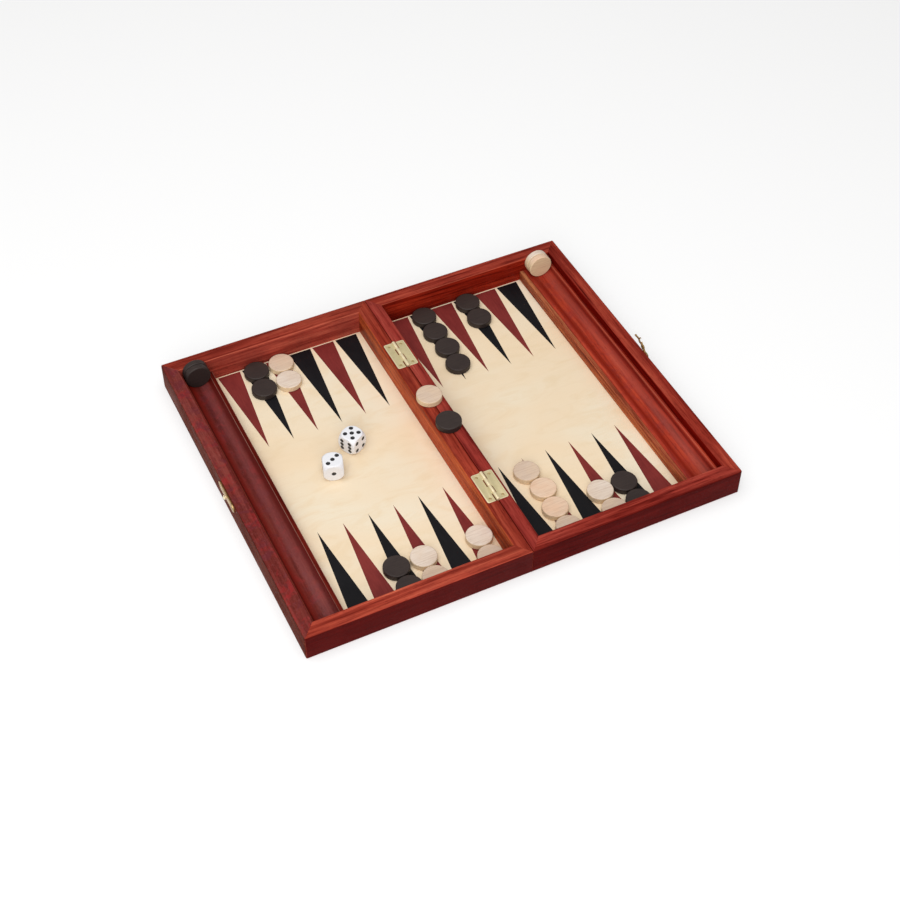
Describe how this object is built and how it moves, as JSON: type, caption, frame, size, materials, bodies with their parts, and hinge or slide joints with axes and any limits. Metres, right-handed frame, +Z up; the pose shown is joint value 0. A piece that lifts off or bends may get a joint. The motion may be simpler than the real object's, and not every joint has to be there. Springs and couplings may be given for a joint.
{
  "type": "backgammon set",
  "caption": "Folding wooden backgammon board lying open, with inlaid points, checker trays, brass hinges and hook latch, wooden checkers and white dice.",
  "frame": {"origin": "middle of the open board's box, on the underside that lies on the table", "axes": "+X from the left half to the right half across the fold, +Y from the front rails to the back rails along the fold, +Z up"},
  "size_m": [0.365, 0.302, 0.0301],
  "materials": {
    "stained_wood": "satin red mahogany stain",
    "pale_veneer": "satin lacquered pale maple veneer",
    "red_inlay": "satin lacquered red veneer",
    "black_inlay": "satin lacquered black veneer",
    "light_checker_wood": "smooth natural beech",
    "dark_checker_wood": "smooth dark brown stain",
    "brass": "lightly tarnished pressed brass",
    "die_plastic": "glossy white with black pips"
  },
  "bodies": {
    "left_half": {"left_front_rail": "stained_wood", "left_back_rail": "stained_wood", "left_outer_rail": "stained_wood", "left_middle_rail": "stained_wood", "left_playing_field": "pale_veneer", "left_red_points": "red_inlay", "left_black_points": "black_inlay", "left_tray_divider": "stained_wood", "left_checker_tray": "stained_wood", "left_hinge_leaves": "brass", "hinge_pins": "brass", "left_nails": "brass", "catch_plate": "brass", "catch_stud": "brass"},
    "right_half": {"right_front_rail": "stained_wood", "right_back_rail": "stained_wood", "right_outer_rail": "stained_wood", "right_middle_rail": "stained_wood", "right_playing_field": "pale_veneer", "right_red_points": "red_inlay", "right_black_points": "black_inlay", "right_tray_divider": "stained_wood", "right_checker_tray": "stained_wood", "right_hinge_leaves": "brass", "right_nails": "brass", "hook_plate": "brass", "hook_rivet": "brass"},
    "latch_hook": {"latch_hook": "brass"},
    "light_checker_01": {"light_checker_01": "light_checker_wood"},
    "light_checker_02": {"light_checker_02": "light_checker_wood"},
    "light_checker_03": {"light_checker_03": "light_checker_wood"},
    "light_checker_04": {"light_checker_04": "light_checker_wood"},
    "light_checker_05": {"light_checker_05": "light_checker_wood"},
    "light_checker_06": {"light_checker_06": "light_checker_wood"},
    "light_checker_07": {"light_checker_07": "light_checker_wood"},
    "light_checker_08": {"light_checker_08": "light_checker_wood"},
    "light_checker_09": {"light_checker_09": "light_checker_wood"},
    "light_checker_10": {"light_checker_10": "light_checker_wood"},
    "light_checker_11": {"light_checker_11": "light_checker_wood"},
    "light_checker_12": {"light_checker_12": "light_checker_wood"},
    "light_checker_13": {"light_checker_13": "light_checker_wood"},
    "light_checker_14": {"light_checker_14": "light_checker_wood"},
    "light_checker_15": {"light_checker_15": "light_checker_wood"},
    "dark_checker_01": {"dark_checker_01": "dark_checker_wood"},
    "dark_checker_02": {"dark_checker_02": "dark_checker_wood"},
    "dark_checker_03": {"dark_checker_03": "dark_checker_wood"},
    "dark_checker_04": {"dark_checker_04": "dark_checker_wood"},
    "dark_checker_05": {"dark_checker_05": "dark_checker_wood"},
    "dark_checker_06": {"dark_checker_06": "dark_checker_wood"},
    "dark_checker_07": {"dark_checker_07": "dark_checker_wood"},
    "dark_checker_08": {"dark_checker_08": "dark_checker_wood"},
    "dark_checker_09": {"dark_checker_09": "dark_checker_wood"},
    "dark_checker_10": {"dark_checker_10": "dark_checker_wood"},
    "dark_checker_11": {"dark_checker_11": "dark_checker_wood"},
    "dark_checker_12": {"dark_checker_12": "dark_checker_wood"},
    "dark_checker_13": {"dark_checker_13": "dark_checker_wood"},
    "dark_checker_14": {"dark_checker_14": "dark_checker_wood"},
    "dark_checker_15": {"dark_checker_15": "dark_checker_wood"},
    "die_showing_three": {"die_showing_three": "die_plastic"},
    "die_showing_five": {"die_showing_five": "die_plastic"}
  },
  "joints": [
    {"name": "fold", "type": "hinge", "parent": "left_half", "child": "right_half", "pos_m": [0, 0, 0.0239], "axis": [0, -1, 0], "range_deg": [0, 180]},
    {"name": "latch_swing", "type": "hinge", "parent": "right_half", "child": "latch_hook", "pos_m": [0.18085, -0.006, 0.019], "axis": [1, 0, 0], "range_deg": [-60, 19.2]},
    {"name": "light_checker_01_lift", "type": "slide", "parent": "left_half", "child": "light_checker_01", "axis": [0, 0, 1], "range_m": [0, 0.022]},
    {"name": "light_checker_02_lift", "type": "slide", "parent": "left_half", "child": "light_checker_02", "axis": [0, 0, 1], "range_m": [0, 0.022]},
    {"name": "light_checker_03_lift", "type": "slide", "parent": "left_half", "child": "light_checker_03", "axis": [0, 0, 1], "range_m": [0, 0.022]},
    {"name": "light_checker_04_lift", "type": "slide", "parent": "left_half", "child": "light_checker_04", "axis": [0, 0, 1], "range_m": [0, 0.022]},
    {"name": "light_checker_05_lift", "type": "slide", "parent": "left_half", "child": "light_checker_05", "axis": [0, 0, 1], "range_m": [0, 0.022]},
    {"name": "light_checker_06_lift", "type": "slide", "parent": "left_half", "child": "light_checker_06", "axis": [0, 0, 1], "range_m": [0, 0.022]},
    {"name": "light_checker_07_lift", "type": "slide", "parent": "right_half", "child": "light_checker_07", "axis": [0, 0, 1], "range_m": [0, 0.022]},
    {"name": "light_checker_08_lift", "type": "slide", "parent": "right_half", "child": "light_checker_08", "axis": [0, 0, 1], "range_m": [0, 0.022]},
    {"name": "light_checker_09_lift", "type": "slide", "parent": "right_half", "child": "light_checker_09", "axis": [0, 0, 1], "range_m": [0, 0.022]},
    {"name": "light_checker_10_lift", "type": "slide", "parent": "right_half", "child": "light_checker_10", "axis": [0, 0, 1], "range_m": [0, 0.022]},
    {"name": "light_checker_11_lift", "type": "slide", "parent": "right_half", "child": "light_checker_11", "axis": [0, 0, 1], "range_m": [0, 0.022]},
    {"name": "light_checker_12_lift", "type": "slide", "parent": "right_half", "child": "light_checker_12", "axis": [0, 0, 1], "range_m": [0, 0.022]},
    {"name": "dark_checker_01_lift", "type": "slide", "parent": "left_half", "child": "dark_checker_01", "axis": [0, 0, 1], "range_m": [0, 0.022]},
    {"name": "dark_checker_02_lift", "type": "slide", "parent": "left_half", "child": "dark_checker_02", "axis": [0, 0, 1], "range_m": [0, 0.022]},
    {"name": "dark_checker_03_lift", "type": "slide", "parent": "left_half", "child": "dark_checker_03", "axis": [0, 0, 1], "range_m": [0, 0.022]},
    {"name": "dark_checker_04_lift", "type": "slide", "parent": "left_half", "child": "dark_checker_04", "axis": [0, 0, 1], "range_m": [0, 0.022]},
    {"name": "dark_checker_05_lift", "type": "slide", "parent": "right_half", "child": "dark_checker_05", "axis": [0, 0, 1], "range_m": [0, 0.022]},
    {"name": "dark_checker_06_lift", "type": "slide", "parent": "right_half", "child": "dark_checker_06", "axis": [0, 0, 1], "range_m": [0, 0.022]},
    {"name": "dark_checker_07_lift", "type": "slide", "parent": "right_half", "child": "dark_checker_07", "axis": [0, 0, 1], "range_m": [0, 0.022]},
    {"name": "dark_checker_08_lift", "type": "slide", "parent": "right_half", "child": "dark_checker_08", "axis": [0, 0, 1], "range_m": [0, 0.022]},
    {"name": "dark_checker_09_lift", "type": "slide", "parent": "right_half", "child": "dark_checker_09", "axis": [0, 0, 1], "range_m": [0, 0.022]},
    {"name": "dark_checker_10_lift", "type": "slide", "parent": "right_half", "child": "dark_checker_10", "axis": [0, 0, 1], "range_m": [0, 0.022]},
    {"name": "dark_checker_11_lift", "type": "slide", "parent": "right_half", "child": "dark_checker_11", "axis": [0, 0, 1], "range_m": [0, 0.022]},
    {"name": "dark_checker_12_lift", "type": "slide", "parent": "right_half", "child": "dark_checker_12", "axis": [0, 0, 1], "range_m": [0, 0.022]},
    {"name": "die_showing_three_lift", "type": "slide", "parent": "left_half", "child": "die_showing_three", "axis": [0, 0, 1], "range_m": [0, 0.022]},
    {"name": "die_showing_five_lift", "type": "slide", "parent": "left_half", "child": "die_showing_five", "axis": [0, 0, 1], "range_m": [0, 0.022]},
    {"name": "light_checker_13_tip", "type": "hinge", "parent": "left_half", "child": "light_checker_13", "pos_m": [-0.0116, 0, 0.02385], "axis": [0, -1, 0], "range_deg": [0, 180]},
    {"name": "dark_checker_13_tip", "type": "hinge", "parent": "left_half", "child": "dark_checker_13", "pos_m": [-0.0116, 0, 0.02385], "axis": [0, -1, 0], "range_deg": [0, 180]},
    {"name": "light_checker_14_shift", "type": "slide", "parent": "right_half", "child": "light_checker_14", "axis": [0, 1, 0], "range_m": [-0.0145, 0]},
    {"name": "light_checker_15_shift", "type": "slide", "parent": "right_half", "child": "light_checker_15", "axis": [0, 1, 0], "range_m": [-0.0145, 0]},
    {"name": "dark_checker_15_roll", "type": "slide", "parent": "left_half", "child": "dark_checker_15", "axis": [0, 1, 0], "range_m": [-0.265, 0]},
    {"name": "dark_checker_14_roll", "type": "slide", "parent": "left_half", "child": "dark_checker_14", "axis": [0, 1, 0], "range_m": [-0.265, 0]}
  ],
  "couplings": [
    {"joint": "light_checker_13_tip", "follows": "fold", "ratio": 1},
    {"joint": "dark_checker_13_tip", "follows": "fold", "ratio": 1},
    {"joint": "light_checker_14_shift", "follows": "fold", "m_per_rad": -0.004456},
    {"joint": "light_checker_15_shift", "follows": "fold", "m_per_rad": -0.004456},
    {"joint": "dark_checker_14_roll", "follows": "dark_checker_15_roll", "ratio": 1}
  ]
}
